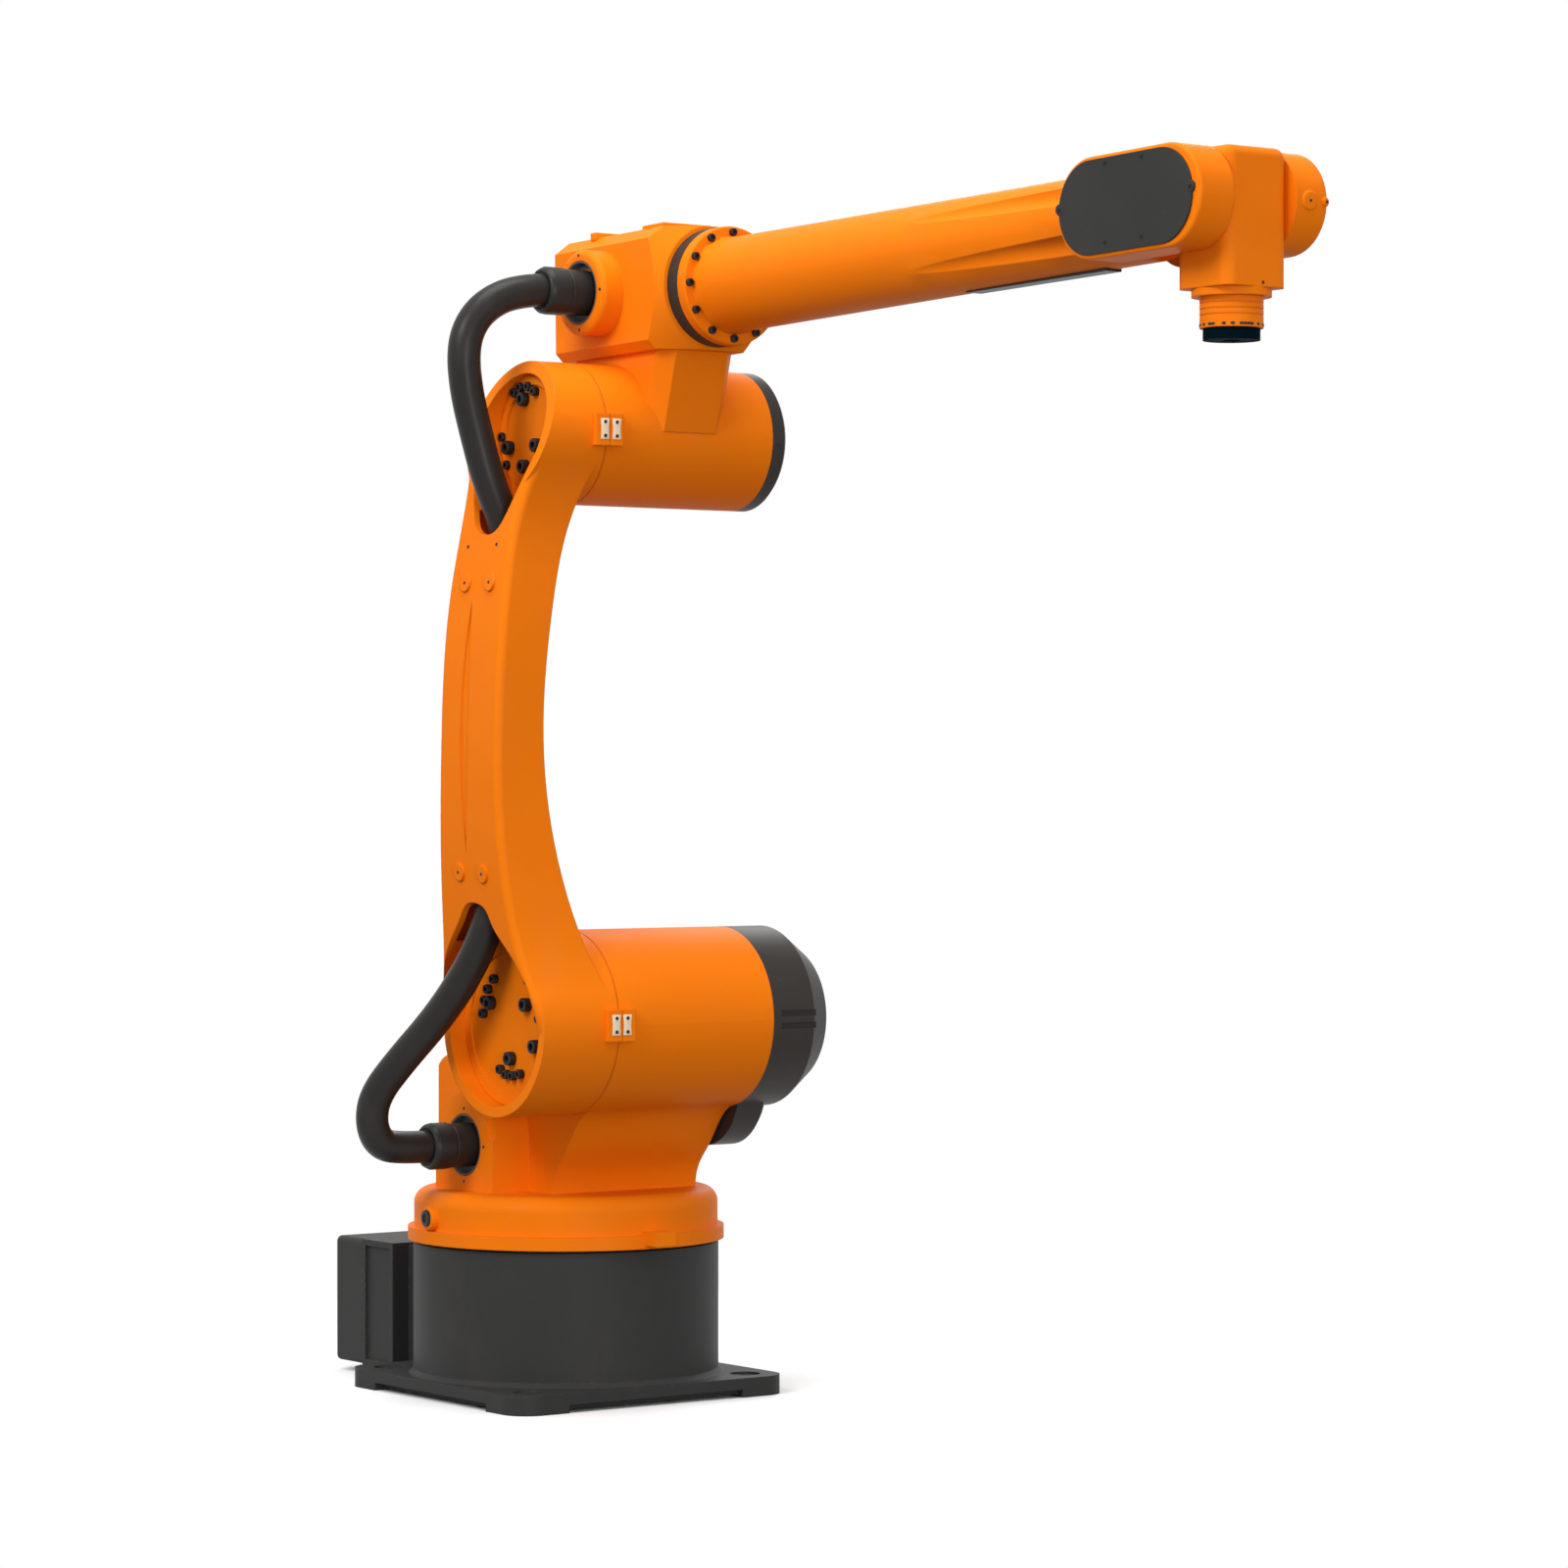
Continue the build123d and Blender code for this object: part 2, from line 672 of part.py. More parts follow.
def fork_leg(inner_y, outer_y, radius, front_in=0.0, back_in=0.0):
    """Long rounded leg of the fork between two cross planes."""
    y0, y1 = sorted((inner_y, outer_y))
    back = elbow_to_wrist - fork_leg_back + back_in
    front = elbow_to_wrist - front_in
    leg = along_y(front, forearm_rise, y0, y1, radius)
    leg += along_y(back, forearm_rise, y0, y1, radius)
    return leg + block(back, front, y0, y1, forearm_rise - radius, forearm_rise + radius)


def make_flutes(tube_end):
    """Slim round cutters for the four hollows where the tube meets the fork."""
    tube_start = housing_front + seal_length + forearm_flange_length
    share = (flute_start - tube_start) / (tube_end - tube_start)
    away = tube_root_radius + share * (tube_tip_radius - tube_root_radius) + flute_radius
    fall = flute_depth / (flute_reach - flute_start)
    length = tube_end - flute_start + overrun
    cutters = []
    for side in (-1, 1):
        for turn in (-radians(flute_turn), radians(flute_turn)):
            outward_y = side * cos(turn)
            outward_z = sin(turn)
            spot = Plane(
                origin=(flute_start, away * outward_y, forearm_rise + away * outward_z),
                x_dir=(0, outward_z, -outward_y),
                z_dir=(1, -fall * outward_y, -fall * outward_z),
            )
            bar = Cylinder(flute_radius, length, align=(Align.CENTER, Align.CENTER, Align.MIN))
            cutters.append(spot * bar)
    return Compound(cutters)


def make_forearm():
    """Forearm casting: bolted flange, tapered tube and the wrist fork."""
    x0 = housing_front + seal_length
    x1 = x0 + forearm_flange_length
    shape = along_x(forearm_rise, x0, x1, seal_radius)
    shape = chamfer(shape.edges().group_by(Axis.X)[-1], forearm_flange_chamfer)
    shape += along_x(forearm_rise, x1, x1 + forearm_flange_cone, flange_recess_radius, tube_root_radius)
    tube_end = elbow_to_wrist - tube_end_gap
    shape += along_x(forearm_rise, x1, tube_end, tube_root_radius, tube_tip_radius)
    shape -= make_flutes(tube_end)
    near_leg = fork_leg(-fork_leg_inner_y, -fork_leg_outer_y, fork_leg_radius)
    near_leg = fillet(near_leg.edges().group_by(Axis.Y)[0], near_leg_fillet)
    far_leg = fork_leg(fork_leg_inner_y, fork_leg_outer_y, fork_leg_radius)
    far_leg = fillet(far_leg.edges().group_by(Axis.Y)[-1], fork_edge_fillet)
    cap = along_y(
        elbow_to_wrist, forearm_rise, fork_leg_outer_y, fork_leg_outer_y + fork_cap_thick, fork_cap_radius
    )
    shape += near_leg + far_leg + cap
    crotch = block(
        tube_end,
        elbow_to_wrist + fork_leg_radius + overrun,
        -fork_leg_inner_y,
        fork_leg_inner_y,
        forearm_rise - seal_radius,
        forearm_rise + seal_radius,
    )
    return elbow_place() * (shape - crotch)


def make_belt_cover():
    """Dark cover plate of the belt drive on the outer side of the fork."""
    radius = fork_leg_radius - cover_inset
    outer_y = -fork_leg_outer_y - cover_thick
    return elbow_place() * fork_leg(-fork_leg_outer_y, outer_y, radius, cover_front_in, cover_back_in)


def make_cable_strip():
    """Dark cover strip under the forearm, just behind the fork."""
    x1 = elbow_to_wrist - fork_leg_back - fork_leg_radius - strip_inset
    x0 = x1 - strip_length
    low = forearm_rise - tube_tip_radius - strip_drop
    shape = block(x0, x1, -strip_half_width, strip_half_width, low, forearm_rise)
    flange = housing_front + seal_length + forearm_flange_length
    tube_end = elbow_to_wrist - tube_end_gap
    shape -= along_x(forearm_rise, flange, tube_end, tube_root_radius, tube_tip_radius)
    return elbow_place() * shape.solids().sort_by(Axis.Z)[0]


def make_wrist_block():
    """Wrist block that tilts in the fork, with its collar and neck."""
    outline = RectangleRounded(2 * block_half_x, 2 * block_half_y, block_edge)
    shape = extrude(outline, block_down + block_up)
    shape = fillet(shape.edges().group_by(Axis.Z)[-1], block_top_edge)
    shape = Pos(0, 0, -block_down) * shape
    collar_z = -block_down - collar_height
    shape += upright(0, collar_z, -block_down, collar_radius)
    shape += upright(0, collar_z - wrist_neck_height, collar_z, wrist_neck_radius)
    ring_z = collar_z
    for _ in range(neck_ring_count):
        ring_z -= neck_ring_pitch
        ring = upright(0, ring_z - neck_ring_width, ring_z, wrist_neck_radius + overrun)
        shape -= ring - upright(0, ring_z - overrun, ring_z + overrun, wrist_neck_radius - neck_ring_depth)
    return Pos(wrist_x, 0, wrist_z) * shape


def make_tool_flange():
    """Tool flange with a centring bore and four threaded holes on a circle."""
    thick = wrist_to_flange - block_down - collar_height - wrist_neck_height
    shape = upright(0, 0, thick, tool_radius)
    shape -= upright(0, 0, tool_bore_depth, tool_bore_radius)
    hole = upright(0, 0, tool_hole_depth, tool_hole_radius)
    for place in PolarLocations(tool_pcd_radius, tool_hole_count, tool_hole_turn):
        shape -= place * hole
    return Pos(wrist_x, 0, wrist_z - wrist_to_flange) * shape


def make_tube(points):
    """Hose along a route: straight runs joined by the largest tangent arcs."""
    route = [Vector(*point) for point in points]
    radii = []
    for before, here, after in zip(route, route[1:], route[2:]):
        turn = (here - before).get_angle(after - here)
        run = min((here - before).length, (after - here).length)
        radii.append(hose_arc_share * run / tan(radians(turn / 2)))
    print("hose arc radii", [round(radius) for radius in radii])
    path = FilletPolyline(*route, radius=radii)
    start = Plane(origin=route[0], z_dir=route[1] - route[0])
    tube = sweep(start * Circle(hose_radius), path=path)
    ideal = path.length * pi * hose_radius * hose_radius
    print("hose length", round(path.length), "volume share", round(tube.volume / ideal, 4))
    return tube


flange_top = base_height + bearing_height + flange_height
gland_reach = gland_body_length + gland_nut_length - gland_seat_depth
low_gland_end = tower_face_y - gland_reach
high_gland_face = -housing_half_width - gland_boss_length
high_gland_end = high_gland_face - gland_reach
gland_at = elbow_place() * Pos(elbow_gland_x, 0, forearm_rise)
high_gland_x = gland_at.position.X
high_gland_z = gland_at.position.Z

# Hose routes, point by point
low_hose_route = [
    (tower_x, low_gland_end, tower_gland_z),
    (tower_x, -246.0, tower_gland_z),
    (-11.0, -276.0, 333.0),
    (-7.0, -289.0, 362.0),
    (1.0, -285.0, 396.0),
    (24.0, -265.0, 441.0),
    (56.0, -248.0, 488.0),
    (94.0, -239.0, 532.0),
    (130.0, -232.0, 578.0),
    (154.0, -220.0, 628.0),
    (167.0, -212.0, 690.0),
    (176.0, -221.0, 752.0),
    (181.2, -236.0, 814.0),
    (186.0, -236.0, 880.0),
]
high_hose_route = [
    (high_gland_x, high_gland_end, high_gland_z),
    (high_gland_x, -216.0, high_gland_z),
    (207.0, -250.0, 1402.0),
    (205.0, -276.0, 1377.0),
    (202.0, -285.0, 1334.0),
    (198.0, -278.0, 1280.0),
    (197.0, -263.0, 1222.0),
    (199.0, -246.0, 1164.0),
    (200.0, -219.5, 1110.0),
    (200.0, -223.5, 1052.0),
    (196.0, -229.0, 994.0),
    (190.4, -236.0, 940.0),
    (186.02, -236.0, 880.3),
]


def make_mark(place, radius, y0, y1):
    """Half of a square zero mark on the +X side of a joint, from y0 to y1."""
    half = mark_size / 2
    near = sqrt(radius * radius - half * half)
    shape = block(near - fit_gap, radius + mark_thick, y0, y1, -half, half)
    return place * (shape - along_y(0, 0, y0 - overrun, y1 + overrun, radius))


def make_marks():
    """Two mark halves at each arm joint, one on either side of the joint line."""
    places = {
        "shoulder": (Pos(shoulder_x, 0, shoulder_z), shoulder_radius, shoulder_joint_y),
        "elbow": (Pos(elbow_x, 0, elbow_z), elbow_radius, elbow_joint_y),
    }
    half = mark_size / 2
    marks = {}
    for name, (place, radius, plane_y) in places.items():
        marks[f"{name}_mark_outer"] = make_mark(place, radius, plane_y - half, plane_y - fit_gap)
        marks[f"{name}_mark_inner"] = make_mark(place, radius, plane_y + fit_gap, plane_y + half)
    return marks


pieces = {
    "base_casting": make_base(),
    "connection_box": make_connection_box(),
    "waist_bearing": make_bearing(),
    "waist_casting": make_waist(),
    "shoulder_motor_cover": make_motor_cover(),
    "waist_hose_gland": Pos(tower_x, 0, tower_gland_z) * make_gland(tower_face_y),
    "upper_arm_casting": make_upper_arm(),
    "shoulder_hub_cover": make_hub_cover(0, shoulder_hub_floor_y, shoulder_window_radius),
    "elbow_hub_cover": make_hub_cover(arm_length, elbow_hub_floor_y, elbow_window_radius),
    "elbow_casting": make_elbow(),
    "elbow_end_cap": make_elbow_cap(),
    "elbow_top_cover": make_top_cover(
        top_cover_start, top_cover_length, top_cover_width, top_cover_thick
    ),
    "elbow_rear_cover": make_top_cover(
        rear_cover_start, rear_cover_length, rear_cover_width, rear_cover_thick
    ),
    "elbow_hose_gland": Pos(high_gland_x, 0, high_gland_z) * make_gland(high_gland_face),
    "forearm_seal": make_seal(),
    "forearm_casting": make_forearm(),
    "wrist_belt_cover": make_belt_cover(),
    "forearm_cable_strip": make_cable_strip(),
    "wrist_block": make_wrist_block(),
    "tool_flange": make_tool_flange(),
    "lower_hose": make_tube(low_hose_route),
    "upper_hose": make_tube(high_hose_route),
}
pieces.update(make_marks())
save_all(pieces)
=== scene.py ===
import bpy
import bmesh
import json
from math import cos, pi, radians, sin
from mathutils import Matrix, Vector


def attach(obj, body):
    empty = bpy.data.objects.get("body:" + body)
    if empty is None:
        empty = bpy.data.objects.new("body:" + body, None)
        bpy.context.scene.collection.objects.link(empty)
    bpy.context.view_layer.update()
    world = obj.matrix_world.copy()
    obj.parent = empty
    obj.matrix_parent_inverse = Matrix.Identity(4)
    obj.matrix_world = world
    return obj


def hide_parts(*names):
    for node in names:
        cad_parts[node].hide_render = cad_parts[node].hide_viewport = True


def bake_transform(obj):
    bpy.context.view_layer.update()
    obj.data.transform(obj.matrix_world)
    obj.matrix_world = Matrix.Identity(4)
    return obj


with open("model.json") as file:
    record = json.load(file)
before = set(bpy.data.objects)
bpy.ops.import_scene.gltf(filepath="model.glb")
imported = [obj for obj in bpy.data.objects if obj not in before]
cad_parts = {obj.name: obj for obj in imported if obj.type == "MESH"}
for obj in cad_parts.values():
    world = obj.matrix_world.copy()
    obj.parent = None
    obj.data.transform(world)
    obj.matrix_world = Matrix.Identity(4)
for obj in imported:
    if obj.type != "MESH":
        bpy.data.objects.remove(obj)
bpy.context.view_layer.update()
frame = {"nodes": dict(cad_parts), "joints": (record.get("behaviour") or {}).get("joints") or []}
nodes = frame["nodes"]
scene = bpy.context.scene
mm = 0.001

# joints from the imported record; at rest the arm leans forward and the forearm points up a little
jointAt = {joint["name"]: Vector(joint["pos_m"]) for joint in frame["joints"]}
restTurns = {"armLean": 3.8, "forearmPitch": -1.07}


# the frame of a body: its joint's place, tipped about Y
def tipped(joint, turn):
    return Matrix.Translation(jointAt[joint]) @ Matrix.Rotation(radians(turn), 4, "Y")


armFrame = tipped("shoulder_tilt", restTurns["armLean"])
elbowFrame = tipped("elbow_tilt", restTurns["forearmPitch"])
wristFrame = Matrix.Translation(jointAt["wrist_tilt"])

# level camera with a long lens, from the front right
cameraSet = {
    "at": (5.4253, -3.5913, 0.7991), "look": (-0.809, 0.588, 0.0), "lens": 114.25, "shiftY": -0.00425,
    "sensor": 36.0, "near": 0.05, "far": 60.0,
}


def makeCamera():
    data = bpy.data.cameras.new("viewCamera")
    data.lens = cameraSet["lens"]
    data.sensor_width = cameraSet["sensor"]
    data.shift_y = cameraSet["shiftY"]
    data.clip_start = cameraSet["near"]
    data.clip_end = cameraSet["far"]
    camera = bpy.data.objects.new("viewCamera", data)
    scene.collection.objects.link(camera)
    camera.location = cameraSet["at"]
    camera.rotation_euler = Vector(cameraSet["look"]).to_track_quat("-Z", "Y").to_euler()
    scene.camera = camera


makeCamera()
print("camera set")


# a socket that can be used in sums, each sum adding its Math node
class Flow:
    def __init__(self, shop, socket):
        self.shop = shop
        self.socket = socket

    def math(self, operation, first, second):
        return self.shop.node("ShaderNodeMath", {"operation": operation}, {0: first, 1: second})

    def __add__(self, other):
        return self.math("ADD", self, other)

    def __sub__(self, other):
        return self.math("SUBTRACT", self, other)

    def __rsub__(self, other):
        return self.math("SUBTRACT", other, self)

    def __mul__(self, other):
        return self.math("MULTIPLY", self, other)

    __radd__ = __add__
    __rmul__ = __mul__

    def larger(self, other):
        return self.math("MAXIMUM", self, other)

    def ramp(self, low, high):  # 0 below low, 1 above high, smooth between
        values = {"Value": self, "From Min": low, "From Max": high}
        return self.shop.node("ShaderNodeMapRange", {"interpolation_type": "SMOOTHSTEP"}, values)


# the nodes of one material or of the world
class Shop:
    def __init__(self, owner, main):
        owner.use_nodes = True
        self.owner = owner
        self.tree = owner.node_tree
        self.main = self.tree.nodes[main]

    def node(self, kind, settings, values, output=0):
        made = self.tree.nodes.new(kind)
        for key, value in settings.items():
            setattr(made, key, value)
        for key, value in values.items():
            self.feed(made.inputs[key], value)
        return Flow(self, made.outputs[output])

    def feed(self, socket, value):
        if isinstance(value, Flow):
            self.tree.links.new(value.socket, socket)
        else:
            socket.default_value = value

    def place(self, stretch=(1, 1, 1)):
        here = self.node("ShaderNodeTexCoord", {}, {}, "Object")
        return self.node("ShaderNodeMapping", {}, {"Vector": here, "Scale": stretch})

    def noise(self, scale, detail=3.0, roughness=0.55, stretch=(1, 1, 1)):
        values = {"Vector": self.place(stretch), "Scale": scale, "Detail": detail, "Roughness": roughness}
        return self.node("ShaderNodeTexNoise", {}, values)

    def mix(self, amount, first, second):
        return self.node("ShaderNodeMix", {"data_type": "RGBA"}, {0: amount, 6: first, 7: second}, 2)

    def soften(self, radius):  # rounded edges, and a mask of where they are
        rounded = self.node("ShaderNodeBevel", {"samples": softEdge["samples"]}, {"Radius": radius})
        plain = self.node("ShaderNodeNewGeometry", {}, {}, "Normal")
        both = {0: rounded, 1: plain}
        match = self.node("ShaderNodeVectorMath", {"operation": "DOT_PRODUCT"}, both, "Value")
        return rounded, (1 - match).ramp(*softEdge["mask"])

    def bump(self, height, strength, distance, rounded=None):
        values = {"Height": height, "Strength": strength, "Distance": distance}
        if rounded is not None:
            values["Normal"] = rounded
        self.feed(self.main.inputs["Normal"], self.node("ShaderNodeBump", {}, values))

    def set(self, **values):
        for key, value in values.items():
            self.feed(self.main.inputs[key.replace("_", " ")], value)


# samples of the rounded normal, and how far it has to turn to count as an edge
softEdge = {"samples": 4, "mask": (0.03, 0.25)}


def newShop(name):
    return Shop(bpy.data.materials.new(name), "Principled BSDF")


def rgb(red, green, blue):
    return (red, green, blue, 1.0)


# in the looks below a pattern is its scale, detail, roughness and stretch, and a bump its strength
# and distance; "In" is the part of a pattern's range that shows, "Amount" how much of it tints the
# colour and "Rough" how much it adds to the roughness
# bare metal shows through on paint and plastic, dust on paint
wearTones = {"bare": rgb(0.42, 0.41, 0.40), "dust": rgb(0.30, 0.24, 0.18)}

# paint on the castings: cloudy tone, orange peel over cast grain, chips on the edges, faint smears
paintLook = {
    "edgeRadius": 0.0025,
    "cloudy": (5.0, 4.0), "cloudyIn": (0.35, 0.7), "cloudyAmount": 0.5,
    "peel": (900.0, 2.0), "peelRough": 0.05, "peelHeight": 0.3,
    "casting": (160.0, 4.0, 0.6), "castingHeight": 0.7,
    "chips": (260.0, 3.0, 0.65), "chipsIn": (0.56, 0.66), "chipsAmount": 0.3,
    "smears": (14.0, 6.0, 0.7, (1, 1, 0.35)), "smearsIn": (0.5, 0.85), "smearsAmount": 0.04, "smearsRough": 0.06,
    "bump": (0.10, 0.0006),
}
paints = {
    "orangePaint": {
        "tone": rgb(0.84, 0.187, 0.0032), "deep": rgb(0.79, 0.169, 0.0026), "rough": 0.46, "specular": 0.05,
    },
    "greyPaint": {
        "tone": rgb(0.035, 0.0345, 0.034), "deep": rgb(0.029, 0.0285, 0.028), "rough": 0.50, "specular": 0.10,
    },
}


def makePaint(name):
    look = paintLook
    paint = paints[name]
    shop = newShop(name)
    rounded, edge = shop.soften(look["edgeRadius"])
    cloudy = shop.noise(*look["cloudy"])
    peel = shop.noise(*look["peel"])
    casting = shop.noise(*look["casting"])
    chips = shop.noise(*look["chips"]).ramp(*look["chipsIn"])
    smears = shop.noise(*look["smears"]).ramp(*look["smearsIn"])
    colour = shop.mix(cloudy.ramp(*look["cloudyIn"]) * look["cloudyAmount"], paint["tone"], paint["deep"])
    colour = shop.mix(smears * look["smearsAmount"], colour, wearTones["dust"])
    colour = shop.mix(edge * chips * look["chipsAmount"], colour, wearTones["bare"])
    shop.set(Base_Color=colour, Specular_IOR_Level=paint["specular"])
    shop.set(Roughness=smears * look["smearsRough"] + peel * look["peelRough"] + paint["rough"])
    shop.bump(casting * look["castingHeight"] + peel * look["peelHeight"], *look["bump"], rounded)
    return shop.owner


# moulded or powder-coated covers: fine grain, pale scuffs and edges
plasticLook = {
    "edgeRadius": 0.0015, "edgeAmount": 0.08, "specular": 0.16,
    "cloudy": (9.0, 4.0), "cloudyIn": (0.3, 0.7),
    "fineDetail": 2.0, "fineRoughness": 0.7, "fineRough": 0.10,
    "scuffs": (30.0, 5.0, 0.7, (1, 1, 4)), "scuffsIn": (0.62, 0.8), "scuffsAmount": 0.06, "scuffsRough": 0.08,
    "bump": (0.15, 0.0005),
}
plastics = {
    "coverGrey": {
        "tone": rgb(0.026, 0.0255, 0.025), "deep": rgb(0.022, 0.0215, 0.021), "rough": 0.50, "grain": 520.0,
    },
    "darkPlastic": {
        "tone": rgb(0.031, 0.027, 0.023), "deep": rgb(0.025, 0.022, 0.019), "rough": 0.42, "grain": 700.0,
    },
    "linerPlastic": {
        "tone": rgb(0.095, 0.090, 0.085), "deep": rgb(0.075, 0.072, 0.068), "rough": 0.42, "grain": 700.0,
    },
    "glandPlastic": {
        "tone": rgb(0.017, 0.016, 0.015), "deep": rgb(0.022, 0.020, 0.018), "rough": 0.34, "grain": 900.0,
    },
    "markWhite": {
        "tone": rgb(0.82, 0.66, 0.48), "deep": rgb(0.76, 0.60, 0.43), "rough": 0.42, "grain": 600.0,
    },
}


def makePlastic(name):
    look = plasticLook
    plastic = plastics[name]
    shop = newShop(name)
    rounded, edge = shop.soften(look["edgeRadius"])
    cloudy = shop.noise(*look["cloudy"])
    fine = shop.noise(plastic["grain"], look["fineDetail"], look["fineRoughness"])
    scuffs = shop.noise(*look["scuffs"]).ramp(*look["scuffsIn"])
    colour = shop.mix(cloudy.ramp(*look["cloudyIn"]), plastic["tone"], plastic["deep"])
    worn = scuffs * look["scuffsAmount"] + edge * look["edgeAmount"]
    shop.set(Base_Color=shop.mix(worn, colour, wearTones["bare"]), Specular_IOR_Level=look["specular"])
    shop.set(Roughness=fine * look["fineRough"] + scuffs * look["scuffsRough"] + plastic["rough"])
    shop.bump(fine, *look["bump"], rounded)
    return shop.owner


# smooth black hose cover, worn a little paler in patches
rubberLook = {
    "tone": rgb(0.020, 0.018, 0.016), "wornTone": rgb(0.031, 0.028, 0.025), "rough": 0.30, "specular": 0.15,
    "grain": (650.0, 3.0, 0.6), "grainRough": 0.12,
    "worn": (22.0, 5.0), "wornIn": (0.45, 0.8), "wornAmount": 0.6, "wornRough": 0.06,
    "bump": (0.10, 0.0004),
}


def makeRubber(name):
    look = rubberLook
    shop = newShop(name)
    grain = shop.noise(*look["grain"])
    worn = shop.noise(*look["worn"]).ramp(*look["wornIn"])
    shop.set(Base_Color=shop.mix(worn * look["wornAmount"], look["tone"], look["wornTone"]))
    shop.set(Roughness=grain * look["grainRough"] + worn * look["wornRough"] + look["rough"])
    shop.set(Specular_IOR_Level=look["specular"])
    shop.bump(grain, *look["bump"])
    return shop.owner


# blackened or plated steel, turned, with a darker stain
steelLook = {
    "turned": (700.0, 2.0, 0.6, (1, 1, 0.1)), "turnedRough": 0.15,
    "stain": (60.0, 4.0), "stainIn": (0.4, 0.75), "stainAmount": 0.6, "stainDark": 0.65,
    "bump": (0.08, 0.0003),
}
steels = {
    "blackSteel": {"tone": (0.016, 0.017, 0.018), "rough": 0.38, "metallic": 0.2, "specular": 0.30},
    "flangeSteel": {"tone": (0.0008, 0.0065, 0.011), "rough": 0.6, "metallic": 0.0, "specular": 0.01},
}


def makeSteel(name):
    look = steelLook
    steel = steels[name]
    shop = newShop(name)
    turned = shop.noise(*look["turned"])
    stain = shop.noise(*look["stain"]).ramp(*look["stainIn"])
    darker = rgb(*(look["stainDark"] * part for part in steel["tone"]))
    shop.set(Base_Color=shop.mix(stain * look["stainAmount"], rgb(*steel["tone"]), darker))
    shop.set(Roughness=turned * look["turnedRough"] + steel["rough"], Metallic=steel["metallic"])
    shop.set(Specular_IOR_Level=steel["specular"])
    shop.bump(turned, *look["bump"])
    return shop.owner


finishes = {"hoseRubber": makeRubber("hoseRubber")}
for make, names in ((makePaint, paints), (makePlastic, plastics), (makeSteel, steels)):
    for finishName in names:
        finishes[finishName] = make(finishName)
print("finishes made", len(finishes))

# CAD pieces that aren't orange
nodeFinish = {
    "base_casting": "greyPaint", "connection_box": "greyPaint", "wrist_belt_cover": "coverGrey",
    "shoulder_motor_cover": "darkPlastic", "elbow_end_cap": "darkPlastic", "forearm_seal": "darkPlastic",
    # the forearm's cable strip is finished dark: a dark strip along the underside of the forearm tube, partly a
    # cover and partly painted shade where the tube's underside lies in shadow
    "waist_bearing": "darkPlastic", "forearm_cable_strip": "glandPlastic",
    "waist_hose_gland": "glandPlastic", "elbow_hose_gland": "glandPlastic", "tool_flange": "flangeSteel",
}


def dressNodes():
    for name, node in nodes.items():
        finish = finishes[nodeFinish.get(name, "orangePaint")]
        if not node.data.materials:
            node.data.materials.append(finish)
        for index in range(len(node.data.materials)):
            node.data.materials[index] = finish


dressNodes()
print("casting finishes on", len(nodes), "pieces")


def lifted(height):  # a move along a place's Z, in mm
    return Matrix.Translation((0, 0, height * mm))


# a place at a point, with its Z looking outward
def facing(origin, outward):
    turn = Vector(outward).to_track_quat("Z", "Y")
    return Matrix.Translation(Vector(origin)) @ turn.to_matrix().to_4x4()


# where a line from a point meets a CAD piece, facing out of its surface
def onSurface(nodeName, space, start, direction):
    origin = space @ (Vector(start) * mm)
    aim = (space.to_3x3() @ Vector(direction)).normalized()
    node = nodes[nodeName].evaluated_get(bpy.context.evaluated_depsgraph_get())
    hit, at, normal = node.ray_cast(origin, aim)[:3]
    if not hit:
        raise RuntimeError(f"no surface of {nodeName} at {start}")
    return facing(at, normal)


# points nearer than mergeBelow, in metres, are one; edges over sharpAngle degrees stay sharp
mergeBelow = 1e-6


def finishPiece(form, name, body, finish, sharpAngle=35.0):
    bmesh.ops.remove_doubles(form, verts=form.verts, dist=mergeBelow)
    bmesh.ops.recalc_face_normals(form, faces=form.faces)
    mesh = bpy.data.meshes.new(name)
    form.to_mesh(mesh)
    form.free()
    mesh.shade_smooth()
    mesh.set_sharp_from_angle(angle=radians(sharpAngle))
    mesh.materials.append(finishes[finish])
    piece = bpy.data.objects.new(name, mesh)
    scene.collection.objects.link(piece)
    if body:
        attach(piece, body)
    return piece


# draws a ring of edges out once and moves the new ring by a matrix
def growRing(form, edges, matrix):
    grown = bmesh.ops.extrude_edge_only(form, edges=edges)["geom"]
    ring = [item for item in grown if isinstance(item, bmesh.types.BMVert)]
    bmesh.ops.transform(form, matrix=matrix, verts=ring)
    return [item for item in grown if isinstance(item, bmesh.types.BMEdge)]


def startRing(form, matrix, radius, segments):
    made = bmesh.ops.create_circle(form, cap_ends=False, segments=segments, radius=radius, matrix=matrix)
    return list({edge for vert in made["verts"] for edge in vert.link_edges})


# turned shape from (radius, height) pairs along the place's Z; open ends are closed unless hollow
def addTurned(form, place, outline, segments=48, hollow=False):
    radius, height = outline[0]
    edges = startRing(form, place @ lifted(height), radius * mm, segments)
    if not hollow:
        bmesh.ops.contextual_create(form, geom=edges)
    for (radius, height), (nextRadius, nextHeight) in zip(outline, outline[1:]):
        grow = nextRadius / radius
        move = lifted(nextHeight) @ Matrix.Diagonal((grow, grow, 1, 1))
        edges = growRing(form, edges, place @ move @ lifted(-height) @ place.inverted())
    if not hollow:
        bmesh.ops.contextual_create(form, geom=edges)


# bevels every edge of a form by a width in mm
def softenForm(form, width, segments):
    bmesh.ops.bevel(
        form, geom=form.edges[:], offset=width * mm, affect="EDGES", segments=segments, profile=0.5, material=-1,
        clamp_overlap=True,
    )


# socket head screw: rounded head with a round socket sunk into it; edge and socket are parts of
# the radius, floor a part of the height, foot is how deep the head stands in the surface
screwShape = {
    "foot": -0.3, "edge": 0.14, "edgeCut": 0.3, "socket": 0.52, "taper": 0.94, "floor": 0.45,
    "tip": 0.2, "tipDrop": 0.1, "segments": 20,
}


